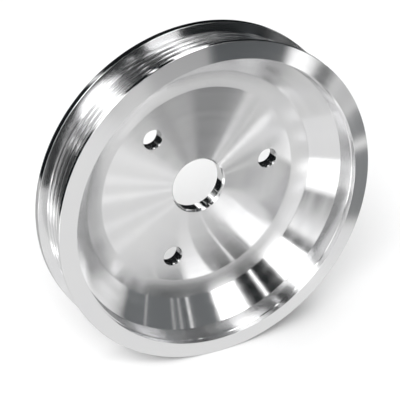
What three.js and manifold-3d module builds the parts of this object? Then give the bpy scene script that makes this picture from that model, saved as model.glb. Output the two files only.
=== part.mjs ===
// Deep-dished six-rib serpentine belt pulley, turned from one aluminium billet.
//
// Millimetres, +Z up. The pulley spins about Y. Its dish opens towards -Y, and the origin is the
// centre of the hub's rear seating face, which lies in the plane Y = 0.

import * as THREE from "three";
import { mergeVertices } from "three/addons/utils/BufferGeometryUtils.js";
import Module from "manifold-3d";

const wasm = await Module();
wasm.setup();

// ---- Driving dimensions ----

// Rim and belt channel
const rimDiameter = 165;          // over the two belt flanges
const flangeHeight = 4.25;        // flange top above the rib crests
const flangeDraft = 13;           // lean of the channel's side walls, degrees
const frontLandWidth = 1.9;       // flat top of the front flange
const rearLandWidth = 3.5;        // flat top of the rear flange
const frontEdgeBreak = 0.3;
const rearEdgeBreak = 0.5;

// Belt grooves, PK section
const ribCount = 6;
const ribPitch = 3.56;
const grooveMouth = 2.66;         // groove width at the rib crests
const grooveAngle = 40;           // between the groove's flanks, degrees
const grooveDepth = 2.65;

// Front ring, lip and dish
const ringWidth = 8.4;            // flange corner to lip, radially
const lipRise = 1.5;              // lip ahead of the flange corner
const stepDepth = 2.5;            // wall just inside the lip
const stepDraw = 0.2;             // how far that wall closes in, radially
const ledgeWidth = 0.4;
const ledgeDepth = 0.3;
const bandDepth = 8.4;            // near-cylindrical band below the ledge
const bandDraw = 1;
const filletRadius = 20.3;        // between the dish's cone and the web
const filletRun = 9;              // the part of that arc which is left, radially

// Web, bore and bolt holes
const webThickness = 6.5;
const boreDiameter = 26.8;
const boreFrontChamfer = 1;
const boreRearChamfer = 0.5;
const boltCount = 3;
const boltCircleDiameter = 76.6;
const boltHoleDiameter = 10;
const boltHoleChamfer = 0.25;
const firstBoltAngle = 8.7;       // from +X towards +Z, degrees
const webMargin = 7.9;            // flat web beyond the bolt holes

// Turned relief in the back, between the hub's seat and the rim
const hubSeatMargin = 8.7;        // hub seat beyond the bolt holes
const rimSeatWidth = 11.5;
const reliefDepth = 2;

// Faceting
const turnSegments = 72;
const holeSegments = 40;
const filletSteps = 5;

// ---- Derived sizes ----

const radians = THREE.MathUtils.degToRad;
const boltRadius = boltHoleDiameter / 2;
const boltCircleRadius = boltCircleDiameter / 2;

const rimRadius = rimDiameter / 2;
const crestRadius = rimRadius - flangeHeight;
const rootRadius = crestRadius - grooveDepth;
const rootHalfWidth = grooveMouth / 2 - grooveDepth * Math.tan(radians(grooveAngle / 2));

const channelFloorWidth = (ribCount - 1) * ribPitch + grooveMouth;
const channelWidth = channelFloorWidth + 2 * flangeHeight * Math.tan(radians(flangeDraft));
const frontCornerY = -(frontLandWidth + channelWidth + rearLandWidth);
const channelMiddleY = -(rearLandWidth + channelWidth / 2);

const lipRadius = rimRadius - ringWidth;
const lipY = frontCornerY - lipRise;
const ledgeOuterRadius = lipRadius - stepDraw;
const ledgeOuterY = lipY + stepDepth;
const bandFrontRadius = ledgeOuterRadius - ledgeWidth;
const bandFrontY = ledgeOuterY + ledgeDepth;
const bandRearRadius = bandFrontRadius - bandDraw;
const bandRearY = bandFrontY + bandDepth;

const webY = -webThickness;
const webRadius = boltCircleRadius + boltRadius + webMargin;
const boreRadius = boreDiameter / 2;
const hubSeatRadius = boltCircleRadius + boltRadius + hubSeatMargin;
const rimSeatRadius = rimRadius - rimSeatWidth;

// ---- Outline of the turned body, as [radius, Y], closed on itself ----

function beltChannelOutline() {
  const outline = [[rimRadius, frontCornerY + frontLandWidth]];
  for (let rib = 0; rib < ribCount; rib++) {
    const middle = channelMiddleY + (rib - (ribCount - 1) / 2) * ribPitch;
    outline.push(
      [crestRadius, middle - grooveMouth / 2],
      [rootRadius, middle - rootHalfWidth],
      [rootRadius, middle + rootHalfWidth],
      [crestRadius, middle + grooveMouth / 2],
    );
  }
  outline.push([rimRadius, -rearLandWidth]);
  return outline;
}

function rearOutline() {
  return [
    [rimRadius, -rearEdgeBreak],
    [rimRadius - rearEdgeBreak, 0],
    [rimSeatRadius, 0],
    [rimSeatRadius, -reliefDepth],
    [hubSeatRadius, -reliefDepth],
    [hubSeatRadius, 0],
  ];
}

function boreOutline() {
  return [
    [boreRadius + boreRearChamfer, 0],
    [boreRadius, -boreRearChamfer],
    [boreRadius, webY + boreFrontChamfer],
    [boreRadius + boreFrontChamfer, webY],
  ];
}

// The fillet's arc leaves the flat web square to the axis and stops where the cone meets it.
function dishOutline() {
  const outline = [];
  const sweep = Math.asin(filletRun / filletRadius);
  for (let step = 0; step <= filletSteps; step++) {
    const angle = (sweep * step) / filletSteps;
    outline.push([
      webRadius + filletRadius * Math.sin(angle),
      webY - filletRadius * (1 - Math.cos(angle)),
    ]);
  }
  outline.push(
    [bandRearRadius, bandRearY],
    [bandFrontRadius, bandFrontY],
    [ledgeOuterRadius, ledgeOuterY],
    [lipRadius, lipY],
  );
  return outline;
}

function frontEdgeOutline() {
  return [
    [rimRadius - frontEdgeBreak, frontCornerY],
    [rimRadius, frontCornerY + frontEdgeBreak],
  ];
}

// ---- Solids ----

function lathe(outline, segments) {
  const points = outline.map(([radius, y]) => new THREE.Vector2(radius, y));
  return new THREE.LatheGeometry(points, segments);
}

function toSolid(geometry) {
  const bare = geometry.clone();
  bare.deleteAttribute("normal");
  bare.deleteAttribute("uv");
  const merged = mergeVertices(bare);
  return new wasm.Manifold(new wasm.Mesh({
    numProp: 3,
    vertProperties: new Float32Array(merged.attributes.position.array),
    triVerts: new Uint32Array(merged.index.array),
  }));
}

function toGeometry(solid) {
  const { vertProperties, triVerts } = solid.getMesh();
  const geometry = new THREE.BufferGeometry();
  geometry.setAttribute("position", new THREE.BufferAttribute(vertProperties, 3));
  geometry.setIndex(new THREE.BufferAttribute(triVerts, 1));
  geometry.computeVertexNormals();
  return geometry;
}

function turnedBlank() {
  const outline = [
    ...frontEdgeOutline(),
    ...beltChannelOutline(),
    ...rearOutline(),
    ...boreOutline(),
    ...dishOutline(),
  ];
  outline.push(outline[0]);
  return toSolid(lathe(outline, turnSegments));
}

// One drill with its countersink, standing on Y and reaching past both faces of the web.
function boltDrill() {
  const overshoot = 1;
  const frontY = webY - overshoot;
  const outline = [
    [0, frontY],
    [boltRadius + boltHoleChamfer + overshoot, frontY],
    [boltRadius, webY + boltHoleChamfer],
    [boltRadius, overshoot],
    [0, overshoot],
  ];
  return lathe(outline, holeSegments);
}

function pulleyBody() {
  let body = turnedBlank();
  for (let bolt = 0; bolt < boltCount; bolt++) {
    const angle = radians(firstBoltAngle) + (bolt * 2 * Math.PI) / boltCount;
    const drill = boltDrill();
    drill.translate(boltCircleRadius * Math.cos(angle), 0, boltCircleRadius * Math.sin(angle));
    body = body.subtract(toSolid(drill));
  }
  const material = new THREE.MeshStandardMaterial({
    color: 0xc4c6c9,
    roughness: 0.3,
    metalness: 1,
    flatShading: true,
  });
  const mesh = new THREE.Mesh(toGeometry(body), material);
  mesh.name = "pulley_body";
  return mesh;
}

const pulley = new THREE.Group();
pulley.add(pulleyBody());

export default pulley;
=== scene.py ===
# Looks for a deep-dished six-rib belt pulley, turned from one aluminium billet.
# Metres, +Z up. The pulley spins about Y, its dish opens towards -Y, and the hub's rear seating face
# lies in the plane Y = 0. Sizes are written in millimetres and scaled by MM.

import math

import bpy
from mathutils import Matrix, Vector

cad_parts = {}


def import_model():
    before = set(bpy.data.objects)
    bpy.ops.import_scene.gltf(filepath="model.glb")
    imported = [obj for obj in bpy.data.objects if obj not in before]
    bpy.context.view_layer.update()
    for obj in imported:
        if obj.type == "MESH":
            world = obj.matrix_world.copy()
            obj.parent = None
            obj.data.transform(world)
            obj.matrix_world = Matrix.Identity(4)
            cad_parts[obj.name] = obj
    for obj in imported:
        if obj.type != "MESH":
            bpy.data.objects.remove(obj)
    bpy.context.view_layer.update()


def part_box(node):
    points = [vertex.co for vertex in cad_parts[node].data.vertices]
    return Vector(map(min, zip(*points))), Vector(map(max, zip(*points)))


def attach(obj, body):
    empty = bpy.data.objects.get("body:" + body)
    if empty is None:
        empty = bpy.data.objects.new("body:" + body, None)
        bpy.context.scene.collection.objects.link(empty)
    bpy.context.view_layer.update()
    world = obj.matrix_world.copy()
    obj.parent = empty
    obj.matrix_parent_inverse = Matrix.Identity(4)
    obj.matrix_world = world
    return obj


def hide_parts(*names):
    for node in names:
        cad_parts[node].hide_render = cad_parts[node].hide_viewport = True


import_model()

MM = 0.001

# ---- Sizes that the frame gives ----

BODY_LOW, BODY_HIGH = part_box("pulley_body")
RIM_RADIUS = BODY_HIGH.x / MM
LIP_Y = BODY_LOW.y / MM

# ---- Sizes of the turned outline, mm ----

FLANGE_HEIGHT = 4.25
FRONT_LAND = 1.9
REAR_LAND = 3.5
RIB_COUNT = 6
RIB_PITCH = 3.56
GROOVE_MOUTH = 2.66
GROOVE_ANGLE = 40
GROOVE_DEPTH = 2.65

RING_WIDTH = 8.4
LIP_RISE = 1.5
STEP_DEPTH = 2.5
STEP_DRAW = 0.2
LEDGE_WIDTH = 0.4
LEDGE_DEPTH = 0.3
BAND_DEPTH = 8.4
BAND_DRAW = 1.0
FILLET_RADIUS = 20.3
FILLET_RUN = 9.0

WEB_THICKNESS = 6.5
BORE_RADIUS = 13.4
BORE_CHAMFER = 1.0
BORE_REAR_CHAMFER = 0.5
BOLT_COUNT = 3
BOLT_CIRCLE_RADIUS = 38.3
BOLT_RADIUS = 5.0
BOLT_CHAMFER = 0.25
FIRST_BOLT_ANGLE = 8.7
WEB_MARGIN = 7.9
HUB_SEAT_MARGIN = 8.7
RIM_SEAT_WIDTH = 11.5
RELIEF_DEPTH = 2.0

# Edge roundings, mm
SHARP = 0.08          # an edge straight off the tool
BROKEN = 0.25         # an edge broken with a file or a chamfering pass
RIB_ROUND = 0.22      # rib crests and groove roots
TURNED_CORNER = 0.5   # left by the nose of the tool in an inner corner

LONGEST_REACH = 0.45  # share of an edge that the rounding of one of its ends may take

TURN_SEGMENTS = 360
ARC_STEPS = 3         # in each rounded corner
FILLET_STEPS = 18
HOLE_SEGMENTS = 96

# Cutting tools, mm
DRILL_LENGTH = 40.0
COUNTERSINK_REACH = 10.0   # of its cone's base beyond the hole's wall

WEB_Y = -WEB_THICKNESS
WEB_RADIUS = BOLT_CIRCLE_RADIUS + BOLT_RADIUS + WEB_MARGIN
CREST_RADIUS = RIM_RADIUS - FLANGE_HEIGHT
ROOT_RADIUS = CREST_RADIUS - GROOVE_DEPTH
FRONT_CORNER_Y = LIP_Y + LIP_RISE
CHANNEL_MIDDLE_Y = (FRONT_CORNER_Y + FRONT_LAND - REAR_LAND) / 2


# ---- Outline ----

def channel_corners():
    """Belt channel from the front flange to the rear one, as (radius, y, rounding)."""
    root_half = GROOVE_MOUTH / 2 - GROOVE_DEPTH * math.tan(math.radians(GROOVE_ANGLE / 2))
    corners = [(RIM_RADIUS, FRONT_CORNER_Y + FRONT_LAND, BROKEN)]
    for rib in range(RIB_COUNT):
        middle = CHANNEL_MIDDLE_Y + (rib - (RIB_COUNT - 1) / 2) * RIB_PITCH
        corners += [
            (CREST_RADIUS, middle - GROOVE_MOUTH / 2, RIB_ROUND),
            (ROOT_RADIUS, middle - root_half, RIB_ROUND),
            (ROOT_RADIUS, middle + root_half, RIB_ROUND),
            (CREST_RADIUS, middle + GROOVE_MOUTH / 2, RIB_ROUND),
        ]
    return corners + [(RIM_RADIUS, -REAR_LAND, BROKEN)]


def rear_corners():
    """Rear edge of the rim, and the relief between the rim and the hub's seat."""
    hub_seat = BOLT_CIRCLE_RADIUS + BOLT_RADIUS + HUB_SEAT_MARGIN
    rim_seat = RIM_RADIUS - RIM_SEAT_WIDTH
    return [
        (RIM_RADIUS, 0, BROKEN * 2),
        (rim_seat, 0, BROKEN),
        (rim_seat, -RELIEF_DEPTH, TURNED_CORNER),
        (hub_seat, -RELIEF_DEPTH, TURNED_CORNER),
        (hub_seat, 0, BROKEN),
    ]


def bore_corners():
    """The bore with its chamfers, from the back to the web's face."""
    return [
        (BORE_RADIUS + BORE_REAR_CHAMFER, 0, SHARP),
        (BORE_RADIUS, -BORE_REAR_CHAMFER, SHARP),
        (BORE_RADIUS, WEB_Y + BORE_CHAMFER, SHARP),
        (BORE_RADIUS + BORE_CHAMFER, WEB_Y, SHARP),
    ]


def dish_corners():
    """Web, fillet, cone, band, ledge, step, lip and front ring."""
    corners = []
    sweep = math.asin(FILLET_RUN / FILLET_RADIUS)
    for step in range(FILLET_STEPS + 1):
        angle = sweep * step / FILLET_STEPS
        corners.append((
            WEB_RADIUS + FILLET_RADIUS * math.sin(angle),
            WEB_Y - FILLET_RADIUS * (1 - math.cos(angle)),
            0,
        ))
    lip = RIM_RADIUS - RING_WIDTH
    ledge = lip - STEP_DRAW
    ledge_y = LIP_Y + STEP_DEPTH
    band = ledge - LEDGE_WIDTH
    band_y = ledge_y + LEDGE_DEPTH
    return corners + [
        (band - BAND_DRAW, band_y + BAND_DEPTH, SHARP),
        (band, band_y, SHARP),
        (ledge, ledge_y, SHARP),
        (lip, LIP_Y, BROKEN / 2),
        (RIM_RADIUS, FRONT_CORNER_Y, BROKEN),
    ]


def rounded(corners):
    """The closed outline with each corner turned into an arc of its own rounding."""
    points = []
    for i, (x, y, rounding) in enumerate(corners):
        corner = Vector((x, y))
        before = Vector(corners[i - 1][:2]) - corner
        after = Vector(corners[(i + 1) % len(corners)][:2]) - corner
        if not rounding:
            points.append(corner)
            continue
        half = before.angle(after) / 2
        shortest = min(before.length, after.length)
        reach = min(rounding / math.tan(half), shortest * LONGEST_REACH)
        radius = reach * math.tan(half)
        towards = (before.normalized() + after.normalized()).normalized()
        centre = corner + towards * (radius / math.sin(half))
        start = corner + before.normalized() * reach - centre
        turn = start.angle_signed(corner + after.normalized() * reach - centre)
        for step in range(ARC_STEPS + 1):
            angle = -turn * step / ARC_STEPS
            points.append(centre + Vector((
                start.x * math.cos(angle) - start.y * math.sin(angle),
                start.x * math.sin(angle) + start.y * math.cos(angle),
            )))
    return points


# ---- Geometry ----

def add(tree, kind, values=None, links=None, **settings):
    """Adds a node, gives it its settings and values, and links the named inputs."""
    made = tree.nodes.new(kind)
    for name, value in settings.items():
        setattr(made, name, value)
    for name, value in (values or {}).items():
        made.inputs[name].default_value = value
    for name, source in (links or {}).items():
        tree.links.new(source, made.inputs[name])
    return made


def outline_object(name, points, centre_radius):
    """A flat closed curve whose x is measured from the lathe's guide circle."""
    curve = bpy.data.curves.new(name, "CURVE")
    curve.dimensions = "3D"
    spline = curve.splines.new("POLY")
    spline.points.add(len(points) - 1)
    for place, point in zip(spline.points, points):
        place.co = ((point.x - centre_radius) * MM, point.y * MM, 0, 1)
    spline.use_cyclic_u = True
    made = bpy.data.objects.new(name, curve)
    bpy.context.scene.collection.objects.link(made)
    return made


TREE_INPUTS = {
    "Turn segments": ("NodeSocketInt", TURN_SEGMENTS),
    "Guide radius": ("NodeSocketFloat", CREST_RADIUS * MM),
    "Bolt count": ("NodeSocketInt", BOLT_COUNT),
    "Bolt circle radius": ("NodeSocketFloat", BOLT_CIRCLE_RADIUS * MM),
    "First bolt angle": ("NodeSocketFloat", math.radians(FIRST_BOLT_ANGLE)),
    "Hole radius": ("NodeSocketFloat", BOLT_RADIUS * MM),
    "Hole chamfer": ("NodeSocketFloat", BOLT_CHAMFER * MM),
    "Web face": ("NodeSocketFloat", -WEB_Y * MM),
    "Material": ("NodeSocketMaterial", None),
}


def lathe_tree():
    """Turns the outline about Y, drills the bolt holes and breaks their edges."""
    tree = bpy.data.node_groups.new("turn_and_drill", "GeometryNodeTree")
    tree.interface.new_socket("Geometry", in_out="INPUT", socket_type="NodeSocketGeometry")
    for name, (kind, _) in TREE_INPUTS.items():
        tree.interface.new_socket(name, in_out="INPUT", socket_type=kind)
    tree.interface.new_socket("Geometry", in_out="OUTPUT", socket_type="NodeSocketGeometry")
    given = tree.nodes.new("NodeGroupInput").outputs
    upright = (math.pi / 2, 0, 0)

    guide = add(tree, "GeometryNodeCurvePrimitiveCircle", mode="RADIUS",
                links={"Resolution": given["Turn segments"], "Radius": given["Guide radius"]})
    turned = add(tree, "GeometryNodeCurveToMesh",
                 links={"Curve": guide.outputs["Curve"], "Profile Curve": given["Geometry"]})
    body = add(tree, "GeometryNodeTransform", {"Rotation": upright},
               {"Geometry": turned.outputs["Mesh"]})

    places = add(tree, "GeometryNodeMeshCircle",
                 links={"Vertices": given["Bolt count"], "Radius": given["Bolt circle radius"]})
    start = add(tree, "ShaderNodeCombineXYZ", links={"Z": given["First bolt angle"]})
    phased = add(tree, "GeometryNodeTransform",
                 links={"Geometry": places.outputs["Mesh"], "Rotation": start.outputs[0]})

    drill = add(tree, "GeometryNodeMeshCylinder",
                {"Vertices": HOLE_SEGMENTS, "Depth": DRILL_LENGTH * MM},
                {"Radius": given["Hole radius"]})
    # The countersink is a cone of 90 degrees, whose tip lies on the drill's axis.
    cone_radius = add(tree, "ShaderNodeMath", {1: COUNTERSINK_REACH * MM},
                      {0: given["Hole radius"]}, operation="ADD")
    cone_height = add(tree, "ShaderNodeMath", operation="ADD",
                      links={0: given["Hole radius"], 1: given["Hole chamfer"]})
    cone = add(tree, "GeometryNodeMeshCone", {"Vertices": HOLE_SEGMENTS},
               {"Radius Bottom": cone_radius.outputs[0], "Depth": cone_radius.outputs[0]})
    tip = add(tree, "ShaderNodeMath", operation="SUBTRACT",
              links={0: given["Web face"], 1: cone_height.outputs[0]})
    base = add(tree, "ShaderNodeMath", operation="ADD",
               links={0: tip.outputs[0], 1: cone_radius.outputs[0]})
    seat = add(tree, "ShaderNodeCombineXYZ", links={"Z": base.outputs[0]})
    countersink = add(tree, "GeometryNodeTransform", {"Rotation": (math.pi, 0, 0)},
                      {"Geometry": cone.outputs["Mesh"], "Translation": seat.outputs[0]})

    cutters = []
    for tool in (drill.outputs["Mesh"], countersink.outputs["Geometry"]):
        copies = add(tree, "GeometryNodeInstanceOnPoints",
                     links={"Points": phased.outputs["Geometry"], "Instance": tool})
        stood = add(tree, "GeometryNodeTransform", {"Rotation": upright},
                    {"Geometry": copies.outputs["Instances"]})
        cutters.append(add(tree, "GeometryNodeRealizeInstances",
                           links={"Geometry": stood.outputs["Geometry"]}))
    drilled = add(tree, "GeometryNodeMeshBoolean", operation="DIFFERENCE", solver="MANIFOLD",
                  links={"Mesh 1": body.outputs["Geometry"]})
    for cutter in cutters:
        tree.links.new(cutter.outputs["Geometry"], drilled.inputs["Mesh 2"])
    smooth = add(tree, "GeometryNodeSetShadeSmooth", links={"Geometry": drilled.outputs["Mesh"]})
    whole = add(tree, "GeometryNodeRealizeInstances",
                links={"Geometry": smooth.outputs["Geometry"]})
    finished = add(tree, "GeometryNodeSetMaterial",
                   links={"Geometry": whole.outputs["Geometry"], "Material": given["Material"]})
    add(tree, "NodeGroupOutput", links={"Geometry": finished.outputs["Geometry"]})
    return tree


def pulley_mesh(first_material):
    """The turned and drilled body as a plain mesh."""
    outline = rounded(
        channel_corners() + rear_corners() + bore_corners() + dish_corners())
    source = outline_object("pulley_outline", outline, CREST_RADIUS)
    lathe = source.modifiers.new("lathe", "NODES")
    lathe.node_group = lathe_tree()
    sockets = {s.name: s.identifier for s in lathe.node_group.interface.items_tree
               if s.in_out == "INPUT"}
    for name, (_, value) in TREE_INPUTS.items():
        lathe[sockets[name]] = first_material if name == "Material" else value
    seen = source.evaluated_get(bpy.context.evaluated_depsgraph_get())
    mesh = bpy.data.meshes.new_from_object(seen)
    bpy.data.objects.remove(source)
    return mesh


# ---- Materials ----

def linear(hex_colour):
    """An sRGB hex value as linear RGBA."""
    parts = [int(hex_colour[i:i + 2], 16) / 255 for i in (1, 3, 5)]
    return (*(p / 12.92 if p <= 0.04045 else ((p + 0.055) / 1.055) ** 2.4 for p in parts), 1)


def across_the_grooves(tree, place, flat, radial, axial):
    """Distance along the section, in metres, so that a pattern on it makes rings about Y."""
    radius = add(tree, "ShaderNodeVectorMath", links={0: flat.outputs[0]}, operation="LENGTH")
    height = add(tree, "ShaderNodeSeparateXYZ", links={0: place})
    share = add(tree, "ShaderNodeMath", {1: radial}, {0: radius.outputs["Value"]},
                operation="MULTIPLY")
    return add(tree, "ShaderNodeMath", {1: axial}, {0: height.outputs["Y"], 2: share.outputs[0]},
               operation="MULTIPLY_ADD").outputs[0]


def mixed(tree, share, first, second):
    """Two hex colours, mixed by share."""
    mix = add(tree, "ShaderNodeMix", links={"Factor": share}, data_type="RGBA")
    colours = [socket for socket in mix.inputs if socket.type == "RGBA"]
    colours[0].default_value = linear(first)
    colours[1].default_value = linear(second)
    return mix.outputs[2]


def leaning_normal(tree, flat, radial, axial, lean):
    """The surface's normal, tipped along the section by lean, as the grooves' long flanks are."""
    outward = add(tree, "ShaderNodeVectorMath", links={0: flat.outputs[0]}, operation="NORMALIZE")
    surface = add(tree, "ShaderNodeNewGeometry")
    sideways = add(tree, "ShaderNodeVectorMath",
                   {1: (radial * lean,) * 3, 2: (0, axial * lean, 0)},
                   {0: outward.outputs[0]}, operation="MULTIPLY_ADD")
    flank = add(tree, "ShaderNodeVectorMath", operation="ADD",
                links={0: sideways.outputs[0], 1: surface.outputs["Normal"]})
    return add(tree, "ShaderNodeVectorMath", links={0: flank.outputs[0]},
               operation="NORMALIZE").outputs[0]


def turned_aluminium(name, tint, roughness, anisotropy, section, feed, ridge, lean=0.0, wave=0.0):
    """Bare aluminium off a lathe. The tool leaves a fine spiral groove, so light smears across
    the grooves into spokes on a face and into bars along a cylinder. section is the direction of
    the outline there as (radial, axial), feed the groove spacing in mm, ridge the bump's depth in
    mm. lean is the slope of each groove's long flank, which mirrors as a shallow cone does, and
    wave the depth in mm of the slow unevenness that polishing leaves."""
    radial, axial = section
    material = bpy.data.materials.new(name)
    material.use_nodes = True
    tree = material.node_tree
    tree.nodes.clear()
    place = add(tree, "ShaderNodeTexCoord").outputs["Object"]
    flat = add(tree, "ShaderNodeVectorMath", {1: (1, 0, 1)}, {0: place}, operation="MULTIPLY")
    along = across_the_grooves(tree, place, flat, radial, axial)

    # The real feed is near 0.1 mm. It is drawn about three times as coarse, so that it shows.
    rings = add(tree, "ShaderNodeTexNoise",
                {"Scale": 1 / (feed * MM), "Detail": 2.0, "Roughness": 0.6},
                {"W": along}, noise_dimensions="1D")
    bands = add(tree, "ShaderNodeTexNoise",
                {"Scale": 1 / (feed * BAND_WIDTH * MM), "Detail": 2.0},
                {"W": along}, noise_dimensions="1D")
    dull = add(tree, "ShaderNodeMapRange",
               {"To Min": roughness * GLOSSIEST, "To Max": roughness * DULLEST},
               {"Value": bands.outputs["Fac"]})
    handled = add(tree, "ShaderNodeTexNoise", {"Scale": 1 / (HANDLED_SIZE * MM), "Detail": 4.0},
                  {"Vector": place}).outputs["Fac"]

    leaning = leaning_normal(tree, flat, radial, axial, lean)
    uneven = add(tree, "ShaderNodeBump", {"Strength": 1.0, "Distance": wave * MM},
                 {"Height": handled, "Normal": leaning})
    bump = add(tree, "ShaderNodeBump", {"Strength": 1.0, "Distance": ridge * MM},
               {"Height": rings.outputs["Fac"], "Normal": uneven.outputs["Normal"]})
    groove = add(tree, "ShaderNodeTangent", direction_type="RADIAL", axis="Y")
    metal = add(tree, "ShaderNodeBsdfPrincipled", {
        "Metallic": 1.0,
        "Anisotropic": anisotropy,
        "Anisotropic Rotation": ACROSS,
    }, {
        "Base Color": mixed(tree, handled, *tint),
        "Roughness": dull.outputs["Result"],
        "Normal": bump.outputs["Normal"],
        "Tangent": groove.outputs["Tangent"],
    })
    add(tree, "ShaderNodeOutputMaterial", links={"Surface": metal.outputs["BSDF"]})
    return material


ACROSS = 0.25         # a quarter turn, so that gloss smears across the grooves
BAND_WIDTH = 14       # of the broader rings that differ in gloss, in feeds
GLOSSIEST = 0.8       # share of the finish's roughness in the glossiest of them
DULLEST = 1.2         # and in the dullest
HANDLED_SIZE = 16     # mm, patches that differ in tint and level after polishing and handling

# Directions of the outline: across a face, along the rim, up the dish's cone, and between the first
# two for the ring, the lands and their edges together
FACE, BARREL, CONE, EDGE = (1, 0), (0, 1), (0.79, -0.61), (0.7, 0.7)
PALE, BRIGHT, SOFT = ("#e4e4e6", "#ececeb"), ("#ebebed", "#f0f0ef"), ("#dddddf", "#e6e6e5")

# name: tint, roughness, anisotropy, section, feed, ridge, lean, wave
FINISHES = {name: turned_aluminium(name, *values) for name, values in {
    "faced_web": (PALE, 0.2, 1.0, FACE, 0.35, 0.0008, 0.2, 0.004),
    "bright_dish": (BRIGHT, 0.13, 1.0, CONE, 0.3, 0.0004, 0.0, 0.03),
    "hazy_fillet": (SOFT, 0.26, 1.0, CONE, 0.3, 0.0005, -0.1, 0.04),
    "bright_band": (BRIGHT, 0.1, 0.9, BARREL, 0.3, 0.0002),
    "bright_rim": (BRIGHT, 0.1, 0.8, EDGE, 0.25, 0.0002),
    "rear_land": (BRIGHT, 0.1, 0.8, BARREL, 0.25, 0.0002, 0.22),
    "belt_channel": (PALE, 0.14, 0.8, BARREL, 0.25, 0.0001),
    "bored_holes": (PALE, 0.13, 0.9, BARREL, 0.3, 0.0004),
    "faced_back": (PALE, 0.25, 1.0, FACE, 0.35, 0.0008, 0.1),
}.items()}
ZONES = list(FINISHES)

WALL_TILT = 0.9       # the normal's Y is under this on the walls and chamfers of the holes
BACK_TILT = 0.6       # and over this on the back
RIM_SLACK = 0.1       # mm that a face's centre may lie inside the rim's radius
CREST_SLACK = 0.3     # outside the rib crests
ROOT_SLACK = 0.2      # and inside the groove roots


def zone_of(radius, y, tilt):
    """Which finish a face has, from its radius and place in mm and its normal's Y."""
    if radius < WEB_RADIUS and abs(tilt) < WALL_TILT:
        return "bored_holes"
    on_rim = radius > RIM_RADIUS - RIM_SLACK
    if tilt > BACK_TILT and not on_rim and y > -RELIEF_DEPTH * 2:
        return "faced_back"
    if radius < WEB_RADIUS:
        return "faced_web"
    if y > -REAR_LAND and on_rim:
        return "rear_land"
    among_ribs = ROOT_RADIUS - ROOT_SLACK < radius < CREST_RADIUS + CREST_SLACK
    if among_ribs and y > FRONT_CORNER_Y + FRONT_LAND:
        return "belt_channel"
    band_front = LIP_Y + STEP_DEPTH + LEDGE_DEPTH
    if radius < RIM_RADIUS - RING_WIDTH - STEP_DRAW and y > band_front:
        if radius < WEB_RADIUS + FILLET_RUN:
            return "hazy_fillet"
        return "bright_band" if y < band_front + BAND_DEPTH else "bright_dish"
    return "bright_rim"


# ---- The pulley ----

def finish_faces(mesh):
    """Gives each face the finish that its tool pass leaves."""
    mesh.materials.clear()
    for zone in ZONES:
        mesh.materials.append(FINISHES[zone])
    for face in mesh.polygons:
        centre = face.center / MM
        radius = math.hypot(centre.x, centre.z)
        face.material_index = ZONES.index(zone_of(radius, centre.y, face.normal.y))


def pulley():
    mesh = pulley_mesh(FINISHES["bright_rim"])
    mesh.name = "turned_pulley"
    made = bpy.data.objects.new("turned_pulley", mesh)
    bpy.context.scene.collection.objects.link(made)
    finish_faces(mesh)
    even = made.modifiers.new("even_normals", "WEIGHTED_NORMAL")
    even.mode = "FACE_AREA"
    even.keep_sharp = True
    seen = made.evaluated_get(bpy.context.evaluated_depsgraph_get())
    finished = bpy.data.meshes.new_from_object(seen)
    made.modifiers.clear()
    made.data = finished
    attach(made, "root")
    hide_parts("pulley_body")
    return made


# ---- Stage ----

VIEW_AZIMUTH = math.radians(-27.32)
VIEW_ELEVATION = math.radians(28.36)
VIEW_DISTANCE = 923.65         # mm, from the front rim's centre
VIEW_SLIDE = (-9.06, 1.90)     # mm, to the camera's own right and up
VIEW_LENS = 175.8              # focal length, mm

FLOOR_REACH = 3.0              # m, to each side


def camera():
    """Ahead of the dish, to its left and above it, with a long lens."""
    data = bpy.data.cameras.new("camera")
    data.lens = VIEW_LENS
    made = bpy.data.objects.new("camera", data)
    bpy.context.scene.collection.objects.link(made)
    level = math.cos(VIEW_ELEVATION)
    back = Vector((
        math.sin(VIEW_AZIMUTH) * level,
        -math.cos(VIEW_AZIMUTH) * level,
        math.sin(VIEW_ELEVATION),
    ))
    right = Vector((math.cos(VIEW_AZIMUTH), math.sin(VIEW_AZIMUTH), 0))
    up = back.cross(right)
    front_rim = Vector((0, FRONT_CORNER_Y, 0))
    place = front_rim + back * VIEW_DISTANCE + right * VIEW_SLIDE[0] + up * VIEW_SLIDE[1]
    made.location = place * MM
    made.rotation_euler = (-back).to_track_quat("-Z", "Y").to_euler()
    bpy.context.scene.camera = made


def floor():
    """White paper under the rim, which the metal doesn't mirror: it mirrors the cards listed below."""
    mesh = bpy.data.meshes.new("floor")
    signs = [(-1, -1), (1, -1), (1, 1), (-1, 1)]
    corners = [(x * FLOOR_REACH, y * FLOOR_REACH, BODY_LOW.z) for x, y in signs]
    mesh.from_pydata(corners, [], [(0, 1, 2, 3)])
    made = bpy.data.objects.new("floor", mesh)
    bpy.context.scene.collection.objects.link(made)
    paper = bpy.data.materials.new("white_paper")
    paper.use_nodes = True
    sheet = paper.node_tree.nodes["Principled BSDF"].inputs
    sheet["Base Color"].default_value = linear("#f0f0f0")
    sheet["Roughness"].default_value = 0.9
    mesh.materials.append(paper)
    made.visible_glossy = False


def soft_light(name, azimuth, elevation, distance, width, height, power):
    """A rectangular softbox that looks at the pulley from a direction given in degrees, with its
    distance and size in metres and its power in watts. The metal mirrors the cards instead of it."""
    data = bpy.data.lights.new(name, "AREA")
    data.shape = "RECTANGLE"
    data.size = width
    data.size_y = height
    data.energy = power
    made = bpy.data.objects.new(name, data)
    bpy.context.scene.collection.objects.link(made)
    a, e = math.radians(azimuth), math.radians(elevation)
    out = Vector((math.sin(a) * math.cos(e), -math.cos(a) * math.cos(e), math.sin(e)))
    made.location = out * distance
    made.rotation_euler = out.to_track_quat("Z", "Y").to_euler()
    made.visible_glossy = False


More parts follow.
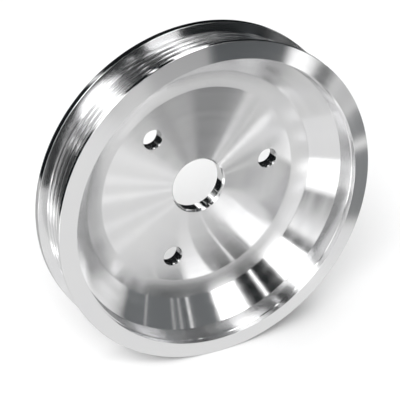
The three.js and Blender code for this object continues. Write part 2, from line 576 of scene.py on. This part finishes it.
# What the metal mirrors, all round it: name, azimuth from and to, elevation from and to, brightness,
# and for a slanted card how far its azimuth shifts for each degree of elevation. Azimuth 0 is ahead
# of the dish and 90 is on the +X side, both in degrees. Each card covers the ones above it in the
# list, and what no card covers is black.
CARDS = [
    ("paper", -181, 181, -95, -20, 0.66),
    ("paper_ahead", -60, 60, -54, -10, 0.82),
    ("paper_left", -116, -60, -75, -28, 0.8),
    ("paper_left_bright", -112, -28, -29, -12, 1.5),
    ("paper_far_right", 92, 176, -26, -15, 0.5),
    ("ceiling", -20, 181, 68, 95, 2.0),
    ("rear_box", 120, 160, 50, 80, 2.6),
    ("left_box", -150, -39, 30, 57, 2.7),
    ("left_box_core", -96, -62, 34, 50, 3.6),
    ("left_skirt", -142, -90, 22, 31, 1.0),
    ("strip_light", 3, 23, 21, 68, 2.0),
    ("right_wash", 41, 100, 7, 40, 0.2),
    ("front_wash", 22, 40, 14, 62, 0.2),
    ("right_slit_low", 59, 61.5, 5, 30, 0.45, 1.7),
    ("right_slit_middle", 48, 50, 12, 46, 0.5, 1.2),
    ("right_slit_upper", 44.2, 45.6, 14, 48, 0.6, 1.0),
    ("right_slit_high", 38, 39.8, 14, 52, 1.1, 0.8),
    ("right_wall", 70, 90, -32, 9, 0.95),
    ("left_card", -57, -28, 20, 29, 1.0),
    ("left_inner_card", -41, -16, 10, 42, 2.1, -1.2),
    ("front_card", -38, -2, -12, 12, 1.3),
    ("front_left_strip", -60, -47, -12, 20, 0.9),
    ("rear_right_card", 156, 171, 25, 37, 2.2),
    ("rear_left_card", -162, -149, 15, 31, 1.6),
    ("rear_left_slit", -179, -176, 30, 37, 2.0),
    ("rear_tick", -177, -176, 4, 12, 2.2),
    ("gap_right", 47.5, 60, -34, -18.5, 0.25),
    ("gap_right_tick", 48, 56, -24.2, -23.4, 1.2),
    ("low_card", 44, 49, -19, -14.5, 0.5),
    ("low_gap", 40.6, 44.2, -15.5, -11.5, 0.04),
    ("low_lamp", 36, 40.6, -12.5, -8, 1.5),
    ("horizon_dark", 24, 36, -11, -3, 0.13),
    ("horizon", 14, 24, -11, -3, 0.45),
    ("horizon_left", 8, 14.5, -11, -4, 0.65),
    ("fan_lamp_a", 53.5, 58, -11, -7, 6.0),
    ("fan_lamp_b", 49.5, 52, -6, -3, 6.0),
    ("fan_lamp_c", 44, 47, -1, 2, 3.0),
    ("fan_lamp_middle", 36.5, 41, -20.5, -17, 1.9),
    ("fan_lamp_thin", 32, 36.5, -15.6, -14.8, 2.2),
    ("fan_lamp_low", 40.5, 48, -40, -37.2, 2.3),
    ("left_tick_a", -22, -8, -18, -15.5, 3.0),
    ("left_tick_b", -24, -10, -26, -23.5, 3.0),
    ("left_tick_c", -22, -10, -39, -36.5, 3.0),
    ("left_tick_d", -17, -3, -48.5, -46, 3.0),
    ("slit_high", -18.6, -16.4, 26, 65, 2.2, -0.78),
    ("slit_left_a", -140, -114, 19.2, 20.8, 3.5),
    ("slit_left_b", -140, -114, 11.2, 12.8, 3.5),
]
SOFT_EDGE = 1.0       # degrees on each side of a card's edge
UNLIT = 0.018         # brightness of the room where no card is
WHITE_FROM = 0.4      # brightness from which a card is white, with no tint of the room's


def window(tree, angle, low, high):
    """1 between two angles in degrees and 0 outside them, with a soft edge. The angle is in radians."""
    low, high, edge = math.radians(low), math.radians(high), math.radians(SOFT_EDGE)
    off = add(tree, "ShaderNodeMath", {1: (low + high) / 2}, {0: angle}, operation="SUBTRACT")
    away = add(tree, "ShaderNodeMath", links={0: off.outputs[0]}, operation="ABSOLUTE")
    half = (high - low) / 2
    return add(tree, "ShaderNodeMapRange",
               {"From Min": half - edge, "From Max": half + edge, "To Min": 1.0, "To Max": 0.0},
               {"Value": away.outputs[0]}, interpolation_type="SMOOTHSTEP").outputs["Result"]


def cards(tree, azimuth, elevation):
    """The brightness of what lies in each direction."""
    shown = add(tree, "ShaderNodeValue").outputs[0]
    shown.default_value = 0.0
    for _, left, right, bottom, top, brightness, *slant in CARDS:
        turned = azimuth
        if slant:
            middle = math.radians(bottom + top) / 2
            shift = add(tree, "ShaderNodeMath", {1: -slant[0], 2: middle * slant[0]},
                        {0: elevation}, operation="MULTIPLY_ADD")
            turned = add(tree, "ShaderNodeMath", links={0: azimuth, 1: shift.outputs[0]},
                         operation="ADD").outputs[0]
        across = window(tree, turned, left, right)
        upright = window(tree, elevation, bottom, top)
        inside = add(tree, "ShaderNodeMath", links={0: across, 1: upright}, operation="MULTIPLY")
        shown = add(tree, "ShaderNodeMix", {"B": brightness},
                    {"Factor": inside.outputs[0], "A": shown}, data_type="FLOAT").outputs[0]
    return shown


def world():
    """Softboxes and black gaps all round the pulley. The backdrop itself is plain and nearly
    white, and shows only where the floor ends."""
    made = bpy.data.worlds.new("studio")
    made.use_nodes = True
    tree = made.node_tree
    tree.nodes.clear()
    place = add(tree, "ShaderNodeTexCoord").outputs["Generated"]
    way = add(tree, "ShaderNodeSeparateXYZ", links={0: place})
    ahead = add(tree, "ShaderNodeMath", {1: -1.0}, {0: way.outputs["Y"]}, operation="MULTIPLY")
    azimuth = add(tree, "ShaderNodeMath", links={0: way.outputs["X"], 1: ahead.outputs[0]},
                  operation="ARCTAN2").outputs[0]
    elevation = add(tree, "ShaderNodeMath", links={0: way.outputs["Z"]},
                    operation="ARCSINE").outputs[0]
    shown = cards(tree, azimuth, elevation)
    # The unlit room is not quite black: it is a faint cold grey.
    lit = add(tree, "ShaderNodeMapRange", {"From Max": WHITE_FROM}, {"Value": shown})
    hue = mixed(tree, lit.outputs["Result"], "#c6d1d9", "#ffffff")
    room = add(tree, "ShaderNodeMath", {1: UNLIT}, {0: shown}, operation="MAXIMUM")
    mirrored = add(tree, "ShaderNodeBackground",
                   links={"Color": hue, "Strength": room.outputs[0]})
    backdrop = add(tree, "ShaderNodeBackground", {"Color": linear("#f4f4f4"), "Strength": 1.0})
    seen = add(tree, "ShaderNodeLightPath")
    result = add(tree, "ShaderNodeMixShader", links={
        0: seen.outputs["Is Camera Ray"],
        1: mirrored.outputs["Background"],
        2: backdrop.outputs["Background"],
    })
    add(tree, "ShaderNodeOutputWorld", links={"Surface": result.outputs[0]})
    bpy.context.scene.world = made


camera()
floor()
world()
soft_light("key", azimuth=-32, elevation=40, distance=2.4, width=1.3, height=1.3, power=50)
pulley()
bpy.context.scene.view_settings.view_transform = "Standard"
